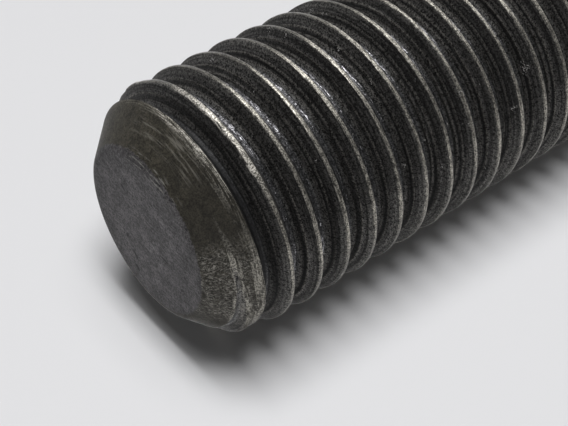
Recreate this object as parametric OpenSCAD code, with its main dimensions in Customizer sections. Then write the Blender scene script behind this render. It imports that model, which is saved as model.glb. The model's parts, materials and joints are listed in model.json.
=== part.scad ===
// Double-ended stud bolt, turned and threaded from one bar.
// It stands on its lower end: the axis is Z and the lower end face is at z = 0.

/* [Stud] */

// Outside diameter of both threads, over the crests
thread_d = 25.05; // [20:0.05:32]

// Diameter of the plain shank
shank_d = 25.4; // [20:0.05:32]

// Length of complete thread at each end, from the end face
thread_len = 57.15; // [30:0.05:80]

// Length between the two complete threads
shank_len = 38.1; // [15:0.1:120]

/* [Thread] */

// Distance along the axis from one crest to the next
pitch = 3.175; // [2.5:0.005:4]

// Angle between the two flanks of the groove
flank_angle = 60; // [50:1:65]

// Turns over which the groove lifts out into the shank
runout_turns = 1.25; // [0.5:0.25:2]

// Angle round the axis at which each thread starts
start_angle = -120; // [-180:1:180]

// Straight steps in one turn of the groove
turn_steps = 26; // [24:1:30]

/* [Ends] */

// Width of the end chamfer, measured along the radius
chamfer_width = 4.1; // [1:0.05:6]

// Slope of the end chamfer against the end face
chamfer_angle = 45; // [30:1:60]

// Radius of the softened edge between end face and chamfer
edge_round = 1; // [0.2:0.1:2]

/* [Hidden] */

steel = [0.14, 0.13, 0.12];

stud_len = 2 * thread_len + shank_len;
thread_r = thread_d / 2;
shank_r = shank_d / 2;

// Half a pitch past the end of the groove, a small shoulder leads to the shank
runout_end = thread_len + (runout_turns + 0.5) * pitch;
shoulder_len = abs(shank_r - thread_r);

// Chamfer and the rounded edge beside it
end_face_r = thread_r - chamfer_width;
chamfer_len = chamfer_width * tan(chamfer_angle);
round_back = edge_round * tan(chamfer_angle / 2);
round_steps = 4;

// Groove, a truncated V that leaves a flat crest and a flat root
crest_flat = pitch / 8;
groove_depth = 0.6134 * pitch;
cut_margin = pitch / 100;
half_slope = tan(flank_angle / 2);
root_r = thread_r - groove_depth;
mouth_r = (thread_r + cut_margin) / cos(180 / turn_steps);
mouth_half = (pitch - crest_flat) / 2 + (mouth_r - thread_r) * half_slope;
root_half = (pitch - crest_flat) / 2 - groove_depth * half_slope;

// The groove starts one turn outside the end face
full_turns = 1 + thread_len / pitch;
groove_steps = ceil((full_turns + runout_turns) * turn_steps);

// Height that the groove has lifted out of the bar at a turn
function lift(turn) =
    max(0, turn - full_turns) / runout_turns * (groove_depth + cut_margin);

// The four corners of the groove's section at a turn
function groove_section(turn) = [
    for (corner = [
        [root_r, -root_half],
        [mouth_r, -mouth_half],
        [mouth_r, mouth_half],
        [root_r, root_half]
    ])
        let (r = corner[0] + lift(turn), a = start_angle + 360 * turn)
            [r * cos(a), r * sin(a), pitch * (turn - 1) + corner[1]]
];

// Outline of the lower half's end, from the axis to the shank
function end_outline() = [
    [0, 0],
    for (i = [0 : round_steps])
        let (a = chamfer_angle * i / round_steps)
            [
                end_face_r - round_back + edge_round * sin(a),
                edge_round * (1 - cos(a))
            ],
    [thread_r, chamfer_len],
    [thread_r, runout_end],
    [shank_r, runout_end + shoulder_len]
];

// The same outline turned over for the upper end
function upper_outline() = [
    for (i = [len(end_outline()) - 1 : -1 : 0])
        [end_outline()[i][0], stud_len - end_outline()[i][1]]
];

module chamfered_bar() {
    rotate_extrude($fn = 120)
        polygon(concat(end_outline(), upper_outline()));
}

module thread_groove() {
    sections = [for (i = [0 : groove_steps]) groove_section(i / turn_steps)];
    last = 4 * groove_steps;
    polyhedron(
        points = [for (section = sections) each section],
        faces = [
            [3, 2, 1, 0],
            for (i = [0 : 4 : last - 4], side = [0 : 3])
                let (next = (side + 1) % 4)
                    [i + next, i + 4 + next, i + 4 + side, i + side],
            [last, last + 1, last + 2, last + 3]
        ]
    );
}

module stud() {
    color(steel)
        difference() {
            chamfered_bar();
            thread_groove();
            translate([0, 0, stud_len])
                rotate([180, 0, 0])
                    thread_groove();
        }
}

stud();
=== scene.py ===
import json
import math

import bpy
import numpy as np
from mathutils import Euler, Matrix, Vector


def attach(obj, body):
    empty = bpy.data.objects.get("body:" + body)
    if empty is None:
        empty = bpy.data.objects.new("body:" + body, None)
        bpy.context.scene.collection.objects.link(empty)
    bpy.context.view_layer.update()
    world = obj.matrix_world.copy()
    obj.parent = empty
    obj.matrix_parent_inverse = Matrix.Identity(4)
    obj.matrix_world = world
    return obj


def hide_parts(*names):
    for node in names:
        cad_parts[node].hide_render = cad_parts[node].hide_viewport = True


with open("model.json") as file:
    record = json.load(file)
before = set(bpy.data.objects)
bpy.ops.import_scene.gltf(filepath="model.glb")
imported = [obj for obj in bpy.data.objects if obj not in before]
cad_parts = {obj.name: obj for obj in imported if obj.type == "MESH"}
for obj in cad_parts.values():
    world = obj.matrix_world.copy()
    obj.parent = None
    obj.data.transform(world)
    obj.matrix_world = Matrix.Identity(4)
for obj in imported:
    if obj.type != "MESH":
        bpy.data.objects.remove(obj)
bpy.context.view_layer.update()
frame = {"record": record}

MM = 0.001

# Sizes that the frame gives, in millimetres
mounts = {mount["name"]: mount for mount in frame["record"]["mounts"]}
THREAD_R = mounts["upper_thread"]["dims"]["r_mm"]
THREAD_LEN = mounts["upper_thread"]["dims"]["length_mm"]
SHANK_R = mounts["shank"]["dims"]["r_mm"]
STUD_LEN = round(mounts["upper_end"]["pos_m"][2] / MM, 3)

# Sizes of the thread and the ends, in millimetres, degrees and turns, as in the part's source
PITCH = 3.175
FLANK_ANGLE = 60
RUNOUT_TURNS = 1.25
START_TURN = -120 / 360
CHAMFER_WIDTH = 4.1
CHAMFER_ANGLE = 45
EDGE_ROUND = 1.0

CREST_HALF = PITCH / 16
HALF_SLOPE = math.tan(math.radians(FLANK_ANGLE / 2))
GROOVE_DEPTH = 0.6134 * PITCH
CUT_MARGIN = 0.03
ROOT_R = THREAD_R - GROOVE_DEPTH
ROOT_HALF = PITCH / 2 - CREST_HALF - GROOVE_DEPTH * HALF_SLOPE
FULL_TURNS = 1 + THREAD_LEN / PITCH
RUNOUT_END = THREAD_LEN + (RUNOUT_TURNS + 0.5) * PITCH
END_FACE_R = THREAD_R - CHAMFER_WIDTH
GIRTH = 2 * math.pi * THREAD_R

# Rounding of the thread's crests and roots
CREST_ROUND = 0.09
ROOT_ROUND = 0.18


# Shape of the new stud


def soft_min(a, b, reach):
    """The smaller of two values, rounded where they come within reach of each other."""
    share = np.clip(0.5 + 0.5 * (b - a) / reach, 0, 1)
    return b + (a - b) * share - reach * share * (1 - share)


def soft_max(a, b, reach):
    """The larger of two values, rounded in the same way."""
    return -soft_min(-a, -b, reach)


def grooved_radius(from_end, winding):
    """Radius of a thread at a distance from its own end; winding is the turn along its helix."""
    turn = np.mod(winding, 1.0)
    nearest = np.round(from_end / PITCH + 1 - turn) + turn
    off = np.abs(from_end - PITCH * (nearest - 1))
    lift = np.clip(nearest - FULL_TURNS, 0, None) / RUNOUT_TURNS * (GROOVE_DEPTH + CUT_MARGIN)
    flank = soft_max(np.zeros_like(off), (off - ROOT_HALF) / HALF_SLOPE, ROOT_ROUND)
    return soft_min(ROOT_R + lift + flank, np.full_like(off, THREAD_R), CREST_ROUND)


def bar_radius(from_end):
    """Radius of the chamfered bar before threading."""
    cone = END_FACE_R + from_end / math.tan(math.radians(CHAMFER_ANGLE))
    shoulder = np.clip(THREAD_R + from_end - RUNOUT_END, THREAD_R, SHANK_R)
    return np.minimum(cone, shoulder)


def stud_radius(z, turn):
    """Radius at heights z on one turn round the axis, and how far the thread stands over the bar."""
    from_low = z
    from_high = STUD_LEN - z
    low_thread = grooved_radius(from_low, turn - START_TURN)
    high_thread = grooved_radius(from_high, -turn - START_TURN)
    thread = np.where(from_low < from_high, low_thread, high_thread)
    from_end = np.minimum(from_low, from_high)
    bar = bar_radius(from_end)
    radius = np.where(from_end < RUNOUT_END, np.minimum(thread, bar), bar)
    return radius, thread - bar


# Wear in the shape: directions round the axis in degrees, sizes in millimetres

SCUFF_ANGLE = -118
SCUFF_DEPTH = 0.10
SCUFF_REACH = 5.0

# Scratches in the scuffed patch: width round the bar, length along it and share of the depth
SCRATCHES = ((0.55, 1.6, 0.6), (1.4, 0.7, 0.4))
PATCH_START = 40

# Sides of the upper end: direction, angle at which the wear ends, angle within which it is full
SCRATCHED_SIDE = (SCUFF_ANGLE, 32, 14)
FLATTENED_SIDE = (-164, 44, 12)

# Depth below the crests down to which the lip is flattened, and where the lip starts and ends
FLATTENED_BELOW = 0.75
LIP_START = (1.5, 2.0)
LIP_END = (4.2, 3.5)

# Depths below the crests between which dents begin, and distances from the end of the first turns
DENTED_BELOW = (0.35, 0.05)
FIRST_TURNS = (9.5, 4.0)

# Dents along the crests: depth, length, share left whole, row of patches, first turns only
CREST_DENTS = (
    (0.02, 1.7, 0.45, 9.0, False),
    (0.05, 5.3, 0.62, 5.0, False),
    (0.16, 1.6, 0.60, 3.0, True),
)


def step(value, low, high):
    """Smooth step from 0 at low to 1 at high."""
    t = np.clip((value - low) / (high - low), 0, 1)
    return t * t * (3 - 2 * t)


def patches(u, v, seed):
    """Smooth random values between 0 and 1, one patch to each unit of u and v."""

    def at(i, j):
        wave = np.sin(i * 127.1 + j * 311.7 + seed * 74.7) * 43758.5453
        return wave - np.floor(wave)

    i = np.floor(u)
    j = np.floor(v)
    a = step(u - i, 0, 1)
    b = step(v - j, 0, 1)
    near = at(i, j) * (1 - a) + at(i + 1, j) * a
    far = at(i, j + 1) * (1 - a) + at(i + 1, j + 1) * a
    return near * (1 - b) + far * b


def near_side(degrees, middle, wide, narrow):
    """One within the angle narrow of a direction round the axis, none beyond the angle wide."""
    facing = math.cos(math.radians(degrees - middle))
    return step(facing, math.cos(math.radians(wide)), math.cos(math.radians(narrow)))


def crest_dents(from_end, turn, upper, r):
    """Depth of the dents along the crests."""
    winding = np.where(upper, -turn - START_TURN, turn - START_TURN) % 1.0
    along = GIRTH * (np.floor(from_end / PITCH + 1 - winding) + winding)
    below = THREAD_R - r
    on_crest = step(below, *DENTED_BELOW) * (from_end < RUNOUT_END)
    first_turns = step(from_end, *FIRST_TURNS)
    depth = 0.0
    for seed, (deep, long, whole, row, first_only) in enumerate(CREST_DENTS, 1):
        dents = deep * step(patches(along / long, upper * row, seed), whole, 1.0)
        depth = depth + dents * (first_turns if first_only else 1.0)
    return on_crest * depth


def scuff_depth(from_end, degrees, upper, r):
    """Depth of the scratches in the scuffed patch of the upper chamfer."""
    scuffed = upper * near_side(degrees, *SCRATCHED_SIDE) * (from_end < SCUFF_REACH)
    arc = math.radians(degrees) * r
    marks = 0.0
    for seed, (wide, long, share) in enumerate(SCRATCHES, len(CREST_DENTS) + 1):
        marks = marks + patches(arc / wide + PATCH_START, from_end / long, seed) * share
    return scuffed * SCUFF_DEPTH * step(marks, 0.4, 0.85)


def flattened_depth(from_end, degrees, upper, r):
    """Depth taken off the lip of the first crest, on the underside of the upper end."""
    flattened = upper * near_side(degrees, *FLATTENED_SIDE)
    wound_in = from_end + PITCH * ((degrees + 180) % 360 - 180) / 360
    lip = step(wound_in, *LIP_START) * step(wound_in, *LIP_END)
    return flattened * lip * np.clip(r - (THREAD_R - FLATTENED_BELOW), 0, None)


def worn_away(z, turn, r):
    """Depth that wear takes off the surface."""
    upper = z > STUD_LEN / 2
    from_end = np.where(upper, STUD_LEN - z, z)
    degrees = turn * 360
    depth = crest_dents(from_end, turn, upper, r)
    depth = depth + scuff_depth(from_end, degrees, upper, r)
    return depth + flattened_depth(from_end, degrees, upper, r)


# Grid of the mesh: columns up the side, and lines that follow the thread

COLUMNS = 132
SHANK_LINES = 9

# Distances of the lines from a crest's middle
ACROSS = (0.0, 0.13, 0.19, 0.25, 0.6, 1.0, 1.27, 1.4)

# Lines to a pitch at the worn upper end, and how far from the end they reach
FINE_LINES = 36
FINE_REACH = 6.5

# Rings of the flat end, as shares of its radius, and steps of the rounded edge
FLAT_RINGS = (0.06, 0.15, 0.25, 0.36, 0.47, 0.58, 0.68, 0.77, 0.85, 0.92, 0.97, 1.0)
EDGE_STEPS = 6

# Gap that lines keep from the rounded edge, and how far from the end the chamfer's edges lie
EDGE_GAP = 0.04
EDGE_REACH = 5.0

# Lines closer than the first are one line, and heights closer than the second are one height
SAME_LINE = 1e-3
SAME_HEIGHT = 1e-6

# Span of the thread's height over the bar that a zone mark can hold
INSIDE_SPAN = 4.0


def crest_line(upper):
    """Height of a crest's middle on the column at turn zero."""
    if upper:
        return STUD_LEN - PITCH / 2 + PITCH * START_TURN
    return PITCH / 2 - PITCH * START_TURN


def helical_lines():
    """Heights, on the column at turn zero, of the lines that follow the thread."""
    across = sorted({side * a for a in ACROSS for side in (-1, 1)} | {PITCH / 2})
    fine = list(np.arange(-PITCH / 2, PITCH / 2, PITCH / FINE_LINES) + PITCH / FINE_LINES)
    reach = RUNOUT_END + PITCH
    lines = []
    for k in range(-3, math.ceil(reach / PITCH) + 2):
        low = crest_line(False) + k * PITCH
        lines += [low + a for a in across if low + a < reach]
        high = crest_line(True) - k * PITCH
        offsets = fine if STUD_LEN - high < FINE_REACH else across
        lines += [high + a for a in offsets if STUD_LEN - high - a < reach]
    lines += list(np.linspace(reach + 1, STUD_LEN - reach - 1, SHANK_LINES))
    return np.array(sorted(lines))


def end_rings():
    """Radius and distance from the end, for the flat face and its rounded edge, from the middle out."""
    flat = END_FACE_R - EDGE_ROUND * math.tan(math.radians(CHAMFER_ANGLE / 2))
    rings = [(flat * share, 0.0) for share in FLAT_RINGS]
    for i in range(1, EDGE_STEPS + 1):
        a = math.radians(CHAMFER_ANGLE * i / EDGE_STEPS)
        rings.append((flat + EDGE_ROUND * math.sin(a), EDGE_ROUND * (1 - math.cos(a))))
    return rings


def moved_onto_edges(z, turn):
    """Heights of one column, with a point moved onto each edge between chamfer and groove."""
    over = stud_radius(z, turn)[1]
    for i in np.nonzero((over[:-1] < 0) != (over[1:] < 0))[0]:
        if min(z[i], STUD_LEN - z[i]) < EDGE_REACH:
            t = over[i] / (over[i] - over[i + 1])
            z[i + (t > 0.5)] = z[i] + t * (z[i + 1] - z[i])
    return z


class StudMesh:
    """Points, faces and zone marks of the stud."""

    def __init__(self):
        self.points = []
        self.faces = []
        self.marks = []
        columns = self.add_columns()
        self.join_columns(columns)
        self.close_end([column[0][1] for column in columns], False)
        self.close_end([column[-1][1] for column in columns], True)

    def add_point(self, r, turn, z, ending, inside=INSIDE_SPAN / 2):
        """Adds a point with its marks and returns its number."""
        a = 2 * math.pi * turn
        self.points.append((r * math.cos(a) * MM, r * math.sin(a) * MM, z * MM))
        held = min(1.0, max(0.0, 0.5 + inside / INSIDE_SPAN))
        self.marks.append((ending, held, 0.0, 1.0))
        return len(self.points) - 1

    def add_columns(self):
        """Columns up the side, each a list of a line's height at turn zero and the point on it."""
        lines = helical_lines()
        edge_r, edge_z = end_rings()[-1]
        columns = []
        for c in range(COLUMNS):
            turn = c / COLUMNS
            z = lines + PITCH * turn
            keep = (z > edge_z + EDGE_GAP) & (z < STUD_LEN - edge_z - EDGE_GAP)
            z = moved_onto_edges(z[keep], turn)
            r, over = stud_radius(z, turn)
            r = r - worn_away(z, turn, r)
            ending = (np.minimum(z, STUD_LEN - z) < CHAMFER_WIDTH) & (over > -SAME_HEIGHT)
            column = [(-math.inf, self.add_point(edge_r, turn, edge_z, 1.0))]
            for i, line in enumerate(lines[keep]):
                column.append((line, self.add_point(r[i], turn, z[i], float(ending[i]), over[i])))
            column.append((math.inf, self.add_point(edge_r, turn, STUD_LEN - edge_z, 1.0)))
            columns.append(column)
        return columns

    def join_columns(self, columns):
        """Faces between neighbouring columns, along the lines that they share."""
        for c in range(COLUMNS):
            a = columns[c]
            b = columns[(c + 1) % COLUMNS]
            shift = PITCH if c == COLUMNS - 1 else 0.0
            i = 0
            j = 0
            while i < len(a) - 1:
                next_a = a[i + 1][0]
                next_b = b[j + 1][0] - shift
                if math.isclose(next_a, next_b, rel_tol=0, abs_tol=SAME_LINE):
                    self.faces.append((a[i][1], b[j][1], b[j + 1][1], a[i + 1][1]))
                    i += 1
                    j += 1
                elif next_a < next_b:
                    self.faces.append((a[i][1], b[j][1], a[i + 1][1]))
                    i += 1
                else:
                    self.faces.append((a[i][1], b[j][1], b[j + 1][1]))
                    j += 1

    def close_end(self, rim, upper):
        """Rounded edge and flat face of one end, in rings from the rim to the middle."""
        for r, back in reversed(end_rings()[:-1]):
            z = STUD_LEN - back if upper else back
            ring = [self.add_point(r, c / COLUMNS, z, 1.0) for c in range(COLUMNS)]
            for c in range(COLUMNS):
                after = (c + 1) % COLUMNS
                self.add_end_face(upper, (rim[c], rim[after], ring[after], ring[c]))
            rim = ring
        middle = self.add_point(0.0, 0.0, STUD_LEN if upper else 0.0, 1.0)
        for c in range(COLUMNS):
            self.add_end_face(upper, (rim[c], rim[(c + 1) % COLUMNS], middle))

    def add_end_face(self, upper, corners):
        self.faces.append(corners if upper else corners[::-1])


def make_stud():
    shape = StudMesh()
    mesh = bpy.data.meshes.new("threaded_stud")
    mesh.from_pydata(shape.points, [], shape.faces)
    mesh.update()
    zone = mesh.attributes.new("zones", "FLOAT_COLOR", "POINT")
    zone.data.foreach_set("color", np.array(shape.marks, np.float32).ravel())
    mesh.shade_smooth()
    stud = bpy.data.objects.new("threaded_stud", mesh)
    bpy.context.scene.collection.objects.link(stud)
    keep_flats = stud.modifiers.new("flat_faces_lead", "WEIGHTED_NORMAL")
    keep_flats.weight = 50
    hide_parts("stud")
    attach(stud, "root")
    return stud


# Shader nodes


class Nodes:
    """Places and links shader nodes in one tree."""

    def __init__(self, tree):
        self.tree = tree

    def add(self, kind, inputs=None, **settings):
        node = self.tree.nodes.new(kind)
        for name, value in settings.items():
            setattr(node, name, value)
        for name, value in (inputs or {}).items():
            self.put(value, node.inputs[name])
        return node

    def put(self, value, socket):
        if isinstance(value, bpy.types.NodeSocket):
            self.tree.links.new(value, socket)
        else:
            socket.default_value = value

    def math(self, operation, *values):
        node = self.add("ShaderNodeMath", dict(enumerate(values)), operation=operation)
        return node.outputs[0]

    def chain(self, operation, values):
        result = values[0]
        for value in values[1:]:
            result = self.math(operation, result, value)
        return result

    def times(self, *values):
        return self.chain("MULTIPLY", values)

    def plus(self, *values):
        return self.chain("ADD", values)

    def minus(self, a, b):
        return self.math("SUBTRACT", a, b)

    def over(self, a, b):
        return self.math("DIVIDE", a, b)

    def length(self, x, y):
        return self.math("SQRT", self.plus(self.times(x, x), self.times(y, y)))

    def ramp(self, value, low, high, to_low=0.0, to_high=1.0):
        """Smooth change from to_low, where the value is low, to to_high."""
        inputs = {"Value": value, "From Min": low, "From Max": high, "To Min": to_low, "To Max": to_high}
        return self.add("ShaderNodeMapRange", inputs, interpolation_type="SMOOTHSTEP").outputs["Result"]

    def noise(self, vector, scale, detail, rough):
        inputs = {"Vector": vector, "Scale": scale, "Detail": detail, "Roughness": rough}
        return self.add("ShaderNodeTexNoise", inputs).outputs["Fac"]

    def streaked(self, u, per_u, v, per_v, seed, detail, rough):
        """Noise with per_u and per_v patches to each unit of u and v."""
        place = {0: self.times(u, per_u), 1: self.times(v, per_v), 2: seed}
        spot = self.add("ShaderNodeCombineXYZ", place).outputs[0]
        return self.noise(spot, 1.0, detail, rough)

    def mix(self, share, a, b, how="MIX"):
        """Mix of two colours."""
        node = self.add("ShaderNodeMix", {0: share, 6: a, 7: b}, data_type="RGBA", blend_type=how)
        return node.outputs[2]

    def blend(self, share, a, b):
        """Mix of two values."""
        return self.add("ShaderNodeMix", {0: share, 2: a, 3: b}, data_type="FLOAT").outputs[0]

    def shade(self, colour, value):
        """A colour made darker or lighter by a value."""
        grey = self.add("ShaderNodeCombineColor", {0: value, 1: value, 2: value}).outputs[0]
        return self.mix(1.0, colour, grey, "MULTIPLY")

    def steps(self, value, stops, full):
        """Colours that change along a value; the stops are in the value's own unit, up to full."""
        node = self.add("ShaderNodeValToRGB", {0: self.over(value, full)})
        band = node.color_ramp
        while len(band.elements) < len(stops):
            band.elements.new(1.0)
        for element, (at, colour) in zip(band.elements, stops):
            element.position = at / full
            element.color = (*colour, 1)
        return node.outputs[0]


def new_material(name):
    """An empty material and its tree of nodes."""
    material = bpy.data.materials.new(name)
    material.use_nodes = True
    material.node_tree.nodes.clear()
    return material, material.node_tree


# Dark steel: colours of its finishes, and of painted shade, highlights and glints

FACE_DARK = (0.004, 0.0037, 0.0038, 1)
FACE_PALE = (0.090, 0.0850, 0.0870, 1)
NICK_SHADE = (0.004, 0.004, 0.004, 1)
BAR_DARK = (0.006, 0.0054, 0.0038, 1)
BAR_PALE = (0.035, 0.0316, 0.0236, 1)
SCUFF_PALE = (0.215, 0.204, 0.184, 1)
STREAK_PALE = (0.20, 0.19, 0.165, 1)
SCRAPE_PALE = (0.20, 0.195, 0.18, 1)
LIP_PALE = (0.30, 0.285, 0.25, 1)
LIP_HIGHLIGHT = (0.64, 0.61, 0.545, 1)
# Painted shade in the first groove
GROOVE_SHADE = (0.005, 0.005, 0.005, 1)
CREST_PALE = (0.40, 0.38, 0.33, 1)
CREST_DARK = (0.09, 0.085, 0.075, 1)
HAMMERED_AND_HIGHLIGHT_PALE = (0.52, 0.495, 0.445, 1)
FOOT_BARE = (0.32, 0.315, 0.33, 1)
# Painted glints
GLINT_PALE = (0.42, 0.41, 0.40, 1)

# Lines left on the flank by the threading tool, at distances from the crest's middle
FLANK_TONES = (
    (0.20, (0.016, 0.0155, 0.0145)),
    (0.60, (0.013, 0.0125, 0.012)),
    (0.68, (0.016, 0.0155, 0.015)),
    (0.75, (0.038, 0.036, 0.033)),
    (0.82, (0.014, 0.0135, 0.013)),
    (0.90, (0.006, 0.006, 0.006)),
    (0.98, (0.022, 0.021, 0.020)),
    (1.05, (0.046, 0.044, 0.041)),
    (1.12, (0.030, 0.029, 0.028)),
    (1.20, (0.046, 0.045, 0.043)),
    (1.35, (0.030, 0.030, 0.031)),
)

# Sides of the stud, in degrees, for finishes and for painted light and shade: direction, angle at which
# the mark ends, angle within which it is full
SCUFFED_SIDE = (SCUFF_ANGLE, 34, 16)
TORN_UNDER_SIDE = (SCUFF_ANGLE, 30, 14)
TORN_SIDE = (-44, 34, 18)
BATTERED_SIDE = (-44, 36, 20)
# Painted highlight on the torn lip
LIP_HIGHLIGHT_SIDE = (-38, 26, 8)
STREAKED_SIDE = (-34, 30, 12)
SCRAPED_SIDE = (-38, 30, 12)
SHADED_GROOVE_SIDE = (-75, 85, 50)
# Painted shade: on this side the thread's foot has fewer bare grains and a darker flank
SHADED_FOOT_SIDE = (-86, 36, 8)
# Painted light: the flanks are lighter on the underside, where bounce light from the board falls, and on
# the top side
BOUNCE_LIT_UNDER_SIDE = (-128, 32, 10)
LIT_TOP_SIDE = (12, 64, 14)
# Painted light: the bar is lighter on this side and darker on the others
LIT_CHAMFER_SIDE = (0, 70, 20)

# Sides on which the crests are painted darker, as painted shade, with the share of their tone that is
# left
SHADED_CREST_SIDES = (((-82, 24, 6), 0.55), ((-6, 24, 10), 0.5), ((-152, 40, 16), 0.65))

# Middle of the pale end face off the axis, as it was cut at a slant, its radius and half its soft rim
FACE_OFFSET = (0.39, -0.16)
FACE_R = 8.4
FACE_RIM_HALF = 0.06

# Direction across the saw marks on the end faces, as parts along x and y
SAW_LEAN = (0.90, -0.44)

# Small nicks in the upper end face: place, half length, half width in millimetres and lean in degrees
FACE_NICKS = (
    (-0.7, 3.8, 0.50, 0.24, 115),
    (-2.75, 3.75, 0.62, 0.26, 21),
    (-4.3, 4.4, 0.50, 0.30, 20),
    (-2.1, -2.15, 0.80, 0.14, 56),
    (4.6, 0.9, 0.4, 0.16, 20),
    (-4.9, -3.6, 0.4, 0.2, 100),
)

# Length of the upper end that has wear of its own, and half the width of the worn crests
WORN_END = 6
CREST_WEAR = 0.13

# Distance from the end at turn zero, along the helix, of the crest after the torn lip
FIRST_FULL_CREST = STUD_LEN - crest_line(True) + PITCH


class SteelNodes(Nodes):
    """Nodes of the stud's steel: places on the stud, masks for its wear and for painted light, shade and
    glints, and tones.

    Each ramp gives the noise values, or the millimetres, between which a finish changes.
    """

    def __init__(self, tree):
        super().__init__(tree)
        self.find_places()
        self.find_thread()
        self.draw_grains()
        self.find_zones()
        self.wear_crests()
        self.wear_foot()
        self.scuff_chamfer()
        self.saw_face()
        self.nick_face()

    # Places and noise

    def find_places(self):
        """Places in millimetres, and the turn round the axis."""
        place = self.add("ShaderNodeTexCoord").outputs["Object"]
        in_mm = self.add("ShaderNodeVectorMath", {0: place}, operation="SCALE")
        in_mm.inputs["Scale"].default_value = 1 / MM
        self.in_mm = in_mm.outputs[0]
        xyz = self.add("ShaderNodeSeparateXYZ", {0: self.in_mm}).outputs
        self.x = xyz[0]
        self.y = xyz[1]
        self.z = xyz[2]
        self.radius = self.length(self.x, self.y)
        self.turn = self.over(self.math("ARCTAN2", self.y, self.x), 2 * math.pi)
        self.around = self.times(self.turn, GIRTH)
        self.from_end = self.math("MINIMUM", self.z, self.minus(STUD_LEN, self.z))
        self.in_upper = self.math("GREATER_THAN", self.z, STUD_LEN / 2)
        self.worn_end = self.math("GREATER_THAN", self.z, STUD_LEN - WORN_END)

    def find_thread(self):
        """Places along and across the thread; across is zero on a crest's middle."""
        crest = self.blend(self.in_upper, crest_line(False) / PITCH, crest_line(True) / PITCH)
        pitches = self.over(self.z, PITCH)
        wound = self.minus(self.minus(pitches, self.turn), crest)
        across = self.minus(self.math("FRACT", self.plus(wound, 0.5)), 0.5)
        self.along = self.times(self.minus(pitches, across), GIRTH)
        self.across = self.times(across, PITCH)
        self.aside = self.math("ABSOLUTE", self.across)
        self.wound_in = self.plus(self.from_end, self.times(self.turn, PITCH))

    def beside(self, degrees, wide, narrow):
        """One within the angle narrow of a direction round the axis, none beyond the angle wide."""
        x = self.times(self.x, math.cos(math.radians(degrees)))
        y = self.times(self.y, math.sin(math.radians(degrees)))
        facing = self.over(self.plus(x, y), self.radius)
        return self.ramp(facing, math.cos(math.radians(wide)), math.cos(math.radians(narrow)))

    def drawn(self, per_along, per_across, seed, detail=4.0, rough=0.6):
        """Noise drawn out along the thread, in patches to a millimetre."""
        return self.streaked(self.along, per_along, self.across, per_across, seed, detail, rough)

    def draw_grains(self):
        """Noise that several finishes share."""
        self.grain = self.noise(self.in_mm, 3.2, 3.0, 0.75)
        self.fine = self.noise(self.in_mm, 7.0, 2.0, 0.7)
        self.clouds = self.noise(self.in_mm, 0.7, 3.0, 0.55)
        self.strands = self.drawn(0.05, 6.5, 0.0, 5.0)
        self.lumps = self.drawn(0.7, 1.2, 8.0, 3.0, 0.65)
        self.specks = self.drawn(0.9, 8.5, 5.0, 3.0, 0.7)
        self.crest_grain = self.drawn(1.3, 4.5, 3.0, 4.0, 0.7)
        self.fibres = self.drawn(0.12, 12.0, 11.0, 3.0, 0.6)
        self.speckle = self.ramp(self.blend(0.5, self.grain, self.fine), 0.32, 0.68)

    def find_zones(self):
        """End face with a slightly uneven rim, chamfer and thread."""
        zones = self.add("ShaderNodeAttribute", attribute_name="zones")
        marks = self.add("ShaderNodeSeparateColor", {0: zones.outputs["Color"]})
        ending = marks.outputs[0]
        self.inside = self.times(self.minus(marks.outputs[1], 0.5), INSIDE_SPAN)
        off_middle = self.length(self.minus(self.x, FACE_OFFSET[0]), self.minus(self.y, FACE_OFFSET[1]))
        uneven = self.times(self.minus(self.noise(self.in_mm, 1.3, 3.0, 0.7), 0.5), 0.45)
        on_face = self.ramp(self.plus(off_middle, uneven), FACE_R + FACE_RIM_HALF, FACE_R - FACE_RIM_HALF)
        self.face = self.times(ending, on_face, self.ramp(self.from_end, 0.7, 0.5))
        self.chamfer = self.minus(ending, self.face)
        cut = self.ramp(self.from_end, THREAD_LEN + 1.5 * PITCH, THREAD_LEN + 0.4 * PITCH)
        self.thread = self.times(self.minus(1.0, ending), cut)

    # Masks for the wear, and for painted shade and glints

    def wear_crests(self):
        """Bright worn crests with frayed edges, wider where the first full crest is battered."""
        off_crest = self.math("ABSOLUTE", self.minus(self.wound_in, FIRST_FULL_CREST))
        struck = self.times(self.ramp(off_crest, 1.3, 0.9), self.in_upper)
        self.battered = self.times(struck, self.beside(*BATTERED_SIDE))
        patchy = self.times(self.drawn(0.10, 0.0, 7.0, 2.0), 0.12)
        widened = self.times(self.battered, self.ramp(self.lumps, 0.35, 0.65, -0.03, 0.15))
        half_width = self.plus(patchy, widened, CREST_WEAR)
        off_middle = self.math("ABSOLUTE", self.plus(self.across, self.blend(self.in_upper, -0.05, 0.05)))
        notched = self.times(self.minus(self.crest_grain, 0.5), 0.30)
        frayed = self.times(self.minus(self.fibres, 0.5), 0.35)
        past_edge = self.minus(self.plus(off_middle, notched, frayed), half_width)
        self.bright = self.times(self.ramp(past_edge, 0.11, -0.11), self.thread)

    def wear_foot(self):
        """Bare grains at the rough foot of the thread, fewer on one side as painted shade."""
        self.shaded_side = self.beside(*SHADED_FOOT_SIDE)
        foot = self.times(self.ramp(self.aside, 1.20, 1.42), self.thread)
        foot = self.times(foot, self.ramp(self.from_end, 5.0, 6.5))
        least = self.blend(self.shaded_side, 0.49, 0.57)
        full = self.blend(self.shaded_side, 0.61, 0.69)
        self.bare = self.times(foot, self.ramp(self.blend(0.3, self.specks, self.fine), least, full))
        self.shiny = self.math("MAXIMUM", self.bright, self.bare)

    def scuff_chamfer(self):
        """Scuffed patch on the chamfer, and the scratches in it."""
        bent = self.plus(self.around, self.times(self.clouds, 1.2), self.times(self.grain, 0.5))
        self.scratches = self.streaked(bent, 5.5, self.from_end, 3.6, 2.0, 3.0, 0.65)
        on_chamfer = self.minus(self.ramp(self.inside, -0.5, -0.2), self.face)
        self.scuff = self.times(self.beside(*SCUFFED_SIDE), self.worn_end, on_chamfer)

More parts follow.
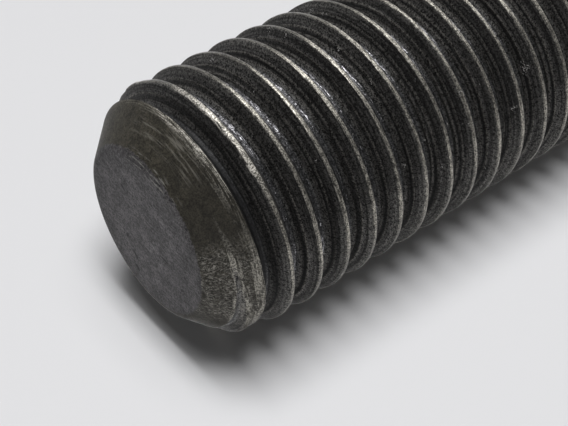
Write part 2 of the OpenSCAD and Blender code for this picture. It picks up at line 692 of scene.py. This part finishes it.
    def saw_face(self):
        """Marks of the saw on the end faces."""
        over_x, over_y = SAW_LEAN
        saw_across = self.plus(self.times(self.x, over_x), self.times(self.y, over_y))
        saw_along = self.plus(self.times(self.x, -over_y), self.times(self.y, over_x))
        self.saw = self.streaked(saw_along, 0.25, saw_across, 4.0, 4.0, 4.0, 0.6)

    def nick_face(self):
        """Nicks in the upper end face."""
        inside = 0.0
        for at_x, at_y, long, wide, lean in FACE_NICKS:
            c = math.cos(math.radians(lean))
            s = math.sin(math.radians(lean))
            u = self.plus(self.times(self.x, c / long), self.times(self.y, s / long))
            v = self.plus(self.times(self.x, -s / wide), self.times(self.y, c / wide))
            u = self.minus(u, (at_x * c + at_y * s) / long)
            v = self.minus(v, (at_y * c - at_x * s) / wide)
            away = self.plus(self.times(u, u), self.times(v, v), self.times(self.grain, 0.8))
            inside = self.math("MAXIMUM", inside, self.ramp(away, 1.6, 0.5))
        self.nicked = self.times(inside, self.worn_end, self.face)

    def scuffed(self):
        """Pale scratches in the scuffed patch, in lumps and grains."""
        scratched = self.ramp(self.scratches, 0.45, 0.60)
        lumpy = self.ramp(self.lumps, 0.35, 0.6, 0.35, 1.0)
        return self.times(self.scuff, scratched, lumpy, self.ramp(self.fine, 0.35, 0.6, 0.35, 1.0))

    def streaks(self):
        """Pale streaks round the chamfer."""
        rings = self.streaked(self.around, 0.30, self.from_end, 6.0, 6.0, 5.0, 0.65)
        lines = self.times(self.ramp(rings, 0.50, 0.64), self.ramp(self.from_end, 0.9, 2.2))
        return self.times(self.beside(*STREAKED_SIDE), self.worn_end, self.chamfer, lines)

    def scrapes(self):
        """Fine scrapes along the rim of the end face."""
        hoops = self.streaked(self.around, 0.45, self.radius, 6.0, 9.0, 4.0, 0.65)
        rim = self.times(self.ramp(self.radius, 7.0, 8.2), self.ramp(self.radius, 9.3, 8.8))
        return self.times(self.beside(*SCRAPED_SIDE), self.worn_end, self.ramp(hoops, 0.52, 0.64), rim)

    def torn_lip(self):
        """Torn lines along the edges between chamfer and groove; the outer edge has the wider band."""
        outer = self.math("GREATER_THAN", self.wound_in, 2.3)
        band = self.ramp(self.inside, self.blend(outer, 0.36, 1.3), self.blend(outer, 0.08, 0.35))
        band = self.times(band, self.ramp(self.inside, -0.20, -0.05), self.ramp(self.from_end, 1.9, 2.1))
        sides = self.math("MAXIMUM", self.beside(*TORN_SIDE), self.beside(*TORN_UNDER_SIDE))
        tears = self.streaked(self.around, 0.35, self.inside, 4.6, 12.0, 3.0, 0.7)
        lines = self.times(self.ramp(tears, 0.46, 0.55), self.ramp(self.fine, 0.38, 0.58, 0.15, 1.0))
        return self.times(self.blend(sides, 0.25, 1.0), band, self.worn_end, lines)

    def shaded_first_groove(self):
        """Painted shade in the first groove beside the chamfer."""
        groove = self.times(self.ramp(self.wound_in, 2.5, 2.8), self.ramp(self.wound_in, 5.5, 4.7))
        groove = self.times(groove, self.beside(*SHADED_GROOVE_SIDE), self.in_upper)
        return self.times(groove, self.ramp(self.wound_in, 4.5, 3.9, 0.5, 0.9))

    def painted_glints(self):
        """Pale spots on the thread: painted glints."""
        spots = self.ramp(self.noise(self.in_mm, 0.9, 2.0, 0.5), 0.69, 0.73)
        broken = self.times(spots, self.ramp(self.fine, 0.54, 0.62))
        return self.times(broken, self.thread, self.ramp(self.from_end, 6.5, 7.5))

    # Tones

    def flank_tone(self):
        """Flank, dark at the top and lined towards its foot; painted light makes it lighter on two sides,
        and painted shade darkens its foot on one side and the first groove.
        """
        waver = self.times(self.minus(self.drawn(0.25, 0.0, 9.0, 3.0), 0.5), 0.12)
        tone = self.steps(self.plus(self.aside, waver), FLANK_TONES, PITCH / 2)
        tone = self.shade(tone, self.ramp(self.strands, 0.34, 0.66, 0.35, 2.2))
        tone = self.shade(tone, self.ramp(self.blend(0.6, self.grain, self.fine), 0.40, 0.60, 0.05, 2.1))
        # Painted light: the flanks are lighter on the underside and on the top side
        lit_top = self.times(self.beside(*LIT_TOP_SIDE), 0.85)
        painted_light = self.math("MAXIMUM", self.beside(*BOUNCE_LIT_UNDER_SIDE), lit_top)
        painted_light = self.times(painted_light, self.ramp(self.aside, 0.85, 0.6))
        tone = self.shade(tone, self.blend(painted_light, 1.0, 2.4))
        # Painted shade: the flank's foot is darker on one side
        shaded_foot = self.times(self.shaded_side, self.ramp(self.aside, 0.95, 1.1))
        tone = self.shade(tone, self.blend(shaded_foot, 1.0, 0.5))
        # Painted shade: the first groove is near black
        return self.mix(self.shaded_first_groove(), tone, GROOVE_SHADE)

    def bar_tone(self):
        """Speckled surface of the bar, seen on the chamfers and the shank, with painted light on one
        side.
        """
        tone = self.mix(self.speckle, BAR_DARK, BAR_PALE)
        tone = self.shade(tone, self.ramp(self.clouds, 0.3, 0.7, 0.75, 1.25))
        # Painted light: the bar is lighter on one side and darker on the others
        return self.shade(tone, self.blend(self.beside(*LIT_CHAMFER_SIDE), 0.78, 1.25))

    def face_tone(self):
        """Sawn end face, a little darker towards its rim, with painted shade in its nicks."""
        tone = self.mix(self.speckle, FACE_DARK, FACE_PALE)
        tone = self.shade(tone, self.ramp(self.saw, 0.3, 0.7, 0.74, 1.24))
        tone = self.shade(tone, self.ramp(self.clouds, 0.3, 0.7, 0.72, 1.28))
        tone = self.shade(tone, self.ramp(self.radius, 5.0, 8.3, 1.08, 0.80))
        # Painted shade in the nicks
        return self.mix(self.times(self.nicked, 0.85), tone, NICK_SHADE)

    def crest_tone(self):
        """Worn crests, fibrous and grainy, darker on some sides as painted shade, hammered pale where
        they are battered; the palest hammered spots are a painted highlight.
        """
        worn = self.ramp(self.blend(0.5, self.crest_grain, self.fibres), 0.36, 0.64)
        tone = self.mix(worn, CREST_PALE, CREST_DARK)
        # Painted shade: the crests are darker on these sides
        for side, left in SHADED_CREST_SIDES:
            tone = self.shade(tone, self.blend(self.beside(*side), 1.0, left))
        tone = self.shade(tone, self.ramp(self.fine, 0.38, 0.62, 0.32, 1.65))
        hammered = self.ramp(self.blend(0.6, self.lumps, self.fine), 0.47, 0.57)
        # The battered first crest is real wear; its palest hammered spots are a painted highlight
        return self.mix(self.times(self.battered, hammered), tone, HAMMERED_AND_HIGHLIGHT_PALE)

    def tone(self):
        """Colour of the whole stud."""
        tone = self.mix(self.thread, self.bar_tone(), self.flank_tone())
        tone = self.mix(self.face, tone, self.face_tone())
        tone = self.mix(self.times(self.scuffed(), 0.8), tone, SCUFF_PALE)
        tone = self.mix(self.times(self.streaks(), 0.45), tone, STREAK_PALE)
        tone = self.mix(self.times(self.scrapes(), 0.6), tone, SCRAPE_PALE)
        # The torn lip is pale worn metal; its palest stretch, on one side, is a painted highlight
        lip_tone = self.mix(self.beside(*LIP_HIGHLIGHT_SIDE), LIP_PALE, LIP_HIGHLIGHT)
        tone = self.mix(self.times(self.torn_lip(), 0.85), tone, lip_tone)
        tone = self.mix(self.bright, tone, self.crest_tone())
        tone = self.mix(self.bare, tone, FOOT_BARE)
        # Painted glints on the thread
        return self.mix(self.painted_glints(), tone, GLINT_PALE)

    def relief(self):
        """Fine height of the surface for the bump."""
        sawn = self.plus(self.times(self.grain, 0.7), self.times(self.saw, 0.5))
        threaded = self.plus(self.times(self.strands, 0.7), self.times(self.specks, 0.3))
        lines = self.blend(self.thread, self.blend(self.face, self.grain, sawn), threaded)
        scratched = self.plus(lines, self.times(self.scuff, self.scratches))
        return self.minus(scratched, self.times(self.nicked, 1.2))


def dark_steel():
    material, tree = new_material("dark_steel")
    n = SteelNodes(tree)
    bump = n.add("ShaderNodeBump", {"Height": n.relief(), "Strength": 0.6, "Distance": 0.06 * MM})
    rough = n.blend(n.shiny, n.blend(n.grain, 0.62, 0.46), 0.32)
    metal = n.blend(n.shiny, 0.1, n.blend(n.battered, 0.9, 0.5))
    inputs = {"Base Color": n.tone(), "Roughness": rough, "Metallic": metal, "Normal": bump.outputs[0]}
    steel = n.add("ShaderNodeBsdfPrincipled", inputs)
    steel.inputs["Specular IOR Level"].default_value = 0.12
    n.add("ShaderNodeOutputMaterial", {0: steel.outputs[0]})
    return material


# Stage: a floor, and a board that the stud stands against; sizes and places in metres

PAPER = (0.80, 0.80, 0.815, 1)
FLOOR_HALF = 1.0
FLOOR_FADE = 0.55
BOARD_HALF = 0.45
BOARD_HEIGHT = 0.55
BOARD_MIDDLE = (0, 0, 0.09)
BOARD_FADE = 0.42
FADE_START = 0.15
BOARD_GAP = 0.05 * MM

# The direction round the axis that the board faces, in degrees
BOARD_ANGLE = -26.8664
BOARD_NORMAL = Vector((math.cos(math.radians(BOARD_ANGLE)), math.sin(math.radians(BOARD_ANGLE)), 0))
BOARD_SIDE = Vector((-BOARD_NORMAL.y, BOARD_NORMAL.x, 0))


def fading_sheet():
    """Shader group: how much of a sheet is left at a distance from its middle."""
    tree = bpy.data.node_groups.new("fading_sheet", "ShaderNodeTree")
    tree.interface.new_socket("Middle", in_out="INPUT", socket_type="NodeSocketVector")
    tree.interface.new_socket("Near", in_out="INPUT", socket_type="NodeSocketFloat")
    tree.interface.new_socket("Far", in_out="INPUT", socket_type="NodeSocketFloat")
    tree.interface.new_socket("Left", in_out="OUTPUT", socket_type="NodeSocketFloat")
    n = Nodes(tree)
    given = n.add("NodeGroupInput").outputs
    place = n.add("ShaderNodeTexCoord").outputs["Object"]
    away = n.add("ShaderNodeVectorMath", {0: place, 1: given["Middle"]}, operation="DISTANCE")
    left = n.ramp(away.outputs["Value"], given["Near"], given["Far"], 1.0, 0.0)
    n.add("NodeGroupOutput", {"Left": left})
    return tree


def pale_paper(name, fading, middle, far, clear_back=False):
    """Pale paper that fades out between FADE_START and far; a clear back lets the camera see through."""
    material, tree = new_material(name)
    n = Nodes(tree)
    sheet = n.add("ShaderNodeGroup", node_tree=fading)
    sheet.inputs["Middle"].default_value = middle
    sheet.inputs["Near"].default_value = FADE_START
    sheet.inputs["Far"].default_value = far
    left = sheet.outputs["Left"]
    if clear_back:
        behind = n.add("ShaderNodeNewGeometry").outputs["Backfacing"]
        seen = n.add("ShaderNodeLightPath").outputs["Is Camera Ray"]
        left = n.times(left, n.minus(1.0, n.times(behind, seen)))
    paper = n.add("ShaderNodeBsdfPrincipled", {"Base Color": PAPER, "Roughness": 0.8, "Alpha": left})
    paper.inputs["Specular IOR Level"].default_value = 0.2
    n.add("ShaderNodeOutputMaterial", {0: paper.outputs[0]})
    return material


def flat_sheet(name, corner, along, up, material):
    """A sheet from one corner, with two of its edges."""
    mesh = bpy.data.meshes.new(name)
    mesh.from_pydata([corner, corner + along, corner + along + up, corner + up], [], [(0, 1, 2, 3)])
    mesh.materials.append(material)
    sheet = bpy.data.objects.new(name, mesh)
    sheet.visible_shadow = False
    bpy.context.scene.collection.objects.link(sheet)
    return sheet


def make_floor(fading):
    paper = pale_paper("floor_paper", fading, (0, 0, 0), FLOOR_FADE)
    corner = Vector((-FLOOR_HALF, -FLOOR_HALF, 0))
    along = Vector((2 * FLOOR_HALF, 0, 0))
    floor = flat_sheet("floor", corner, along, Vector((0, 2 * FLOOR_HALF, 0)), paper)
    floor.visible_diffuse = False
    return floor


def make_board(fading):
    paper = pale_paper("board_paper", fading, BOARD_MIDDLE, BOARD_FADE, clear_back=True)
    foot = BOARD_NORMAL * -(SHANK_R * MM + BOARD_GAP)
    corner = foot - BOARD_SIDE * BOARD_HALF
    up = Vector((0, 0, BOARD_HEIGHT))
    return flat_sheet("backdrop_board", corner, BOARD_SIDE * 2 * BOARD_HALF, up, paper)


# Light

AIM = Vector((0, 0, 0.13))
ROOM_COLOUR = (0.98, 0.99, 1.0, 1)
ROOM_STRENGTH = 0.06
BACKGROUND = (0.76, 0.76, 0.78, 1)


def off_board(degrees, far, over=0.0):
    """A place far from the aim, leaning from the board's normal towards its side, and over the aim."""
    lean = math.radians(degrees)
    away = BOARD_NORMAL * math.cos(lean) + BOARD_SIDE * math.sin(lean)
    return AIM + away * far + Vector((0, 0, over))


def soft_box(name, place, aim, wide, tall, watts, lit):
    data = bpy.data.lights.new(name, "AREA")
    data.shape = "RECTANGLE"
    data.size = wide
    data.size_y = tall
    data.energy = watts
    lamp = bpy.data.objects.new(name, data)
    lamp.location = place
    lamp.rotation_mode = "QUATERNION"
    lamp.rotation_quaternion = (Vector(aim) - place).to_track_quat("-Z", "Y")
    bpy.context.scene.collection.objects.link(lamp)
    reach = bpy.data.collections.new(name + "_reach")
    for thing in lit:
        reach.objects.link(thing)
    lamp.light_linking.receiver_collection = reach


def make_lights(stud, floor, board):
    key = off_board(-2, 0.62, 0.016)
    overhead = Vector((0, 0, 0.95)) - BOARD_NORMAL * 0.20
    # Name, place, aim, width and height, watts and what the lamp lights
    lamps = (
        ("key_strip", key, AIM, 0.40, 0.125, 2.55, (stud, board)),
        ("key_softbox", key, AIM, 0.40, 0.36, 1.3, (stud, board)),
        ("far_softbox", off_board(24, 0.60, -0.30), AIM, 0.20, 0.26, 0.30, (stud,)),
        ("low_strip", off_board(16, 0.60, -0.39), AIM, 0.18, 0.38, 3.0, (stud,)),
        ("top_softbox", overhead, (0, 0, 0.10), 0.45, 0.45, 2.7, (stud,)),
        ("rear_softbox", off_board(147, 0.60, -0.10), (0, 0, 0.06), 0.40, 0.26, 3.6, (stud,)),
        ("behind_board_softbox", off_board(180, 0.60, 0.10), (0, 0, 0.08), 0.40, 0.40, 3.5, (board,)),
        ("under_softbox", off_board(-120, 0.60, 0.14), AIM, 0.40, 0.40, 1.2, (stud,)),
        ("floor_softbox", Vector((0, 0, 1.1)), (0, 0, 0), 0.9, 0.9, 9.5, (floor,)),
    )
    for lamp in lamps:
        soft_box(*lamp)


def make_room():
    """Weak light from all round, and a pale background where the room is seen or mirrored."""
    world = bpy.data.worlds.new("pale_room")
    bpy.context.scene.world = world
    world.use_nodes = True
    world.node_tree.nodes.clear()
    n = Nodes(world.node_tree)
    room = n.add("ShaderNodeBackground", {"Color": ROOM_COLOUR, "Strength": ROOM_STRENGTH})
    background = n.add("ShaderNodeBackground", {"Color": BACKGROUND, "Strength": 1.0})
    ray = n.add("ShaderNodeLightPath").outputs
    mirrored = n.math("MAXIMUM", ray["Is Glossy Ray"], ray["Is Transmission Ray"])
    shown = n.math("MAXIMUM", ray["Is Camera Ray"], mirrored)
    sky = n.add("ShaderNodeMixShader", {0: shown, 1: room.outputs[0], 2: background.outputs[0]})
    n.add("ShaderNodeOutputWorld", {0: sky.outputs[0]})


# Camera: place in millimetres, turn about x, y and z in degrees, lens and sensor in millimetres

CAMERA_PLACE = (39.7144, -96.8231, 192.0800)
CAMERA_TURN = (-44.3891, 50.8828, -116.8665)
CAMERA_LENS = 79.028
CAMERA_SENSOR = 36.0


def make_camera():
    data = bpy.data.cameras.new("photo_camera")
    data.sensor_width = CAMERA_SENSOR
    data.lens = CAMERA_LENS
    data.clip_start = 0.005
    data.clip_end = 20.0
    camera = bpy.data.objects.new("photo_camera", data)
    camera.location = Vector(CAMERA_PLACE) * MM
    camera.rotation_euler = Euler([math.radians(a) for a in CAMERA_TURN])
    bpy.context.scene.collection.objects.link(camera)
    bpy.context.scene.camera = camera


make_camera()
stud = make_stud()
stud.data.materials.append(dark_steel())
fading = fading_sheet()
floor = make_floor(fading)
board = make_board(fading)
make_lights(stud, floor, board)
make_room()
bpy.context.scene.view_settings.view_transform = "Standard"
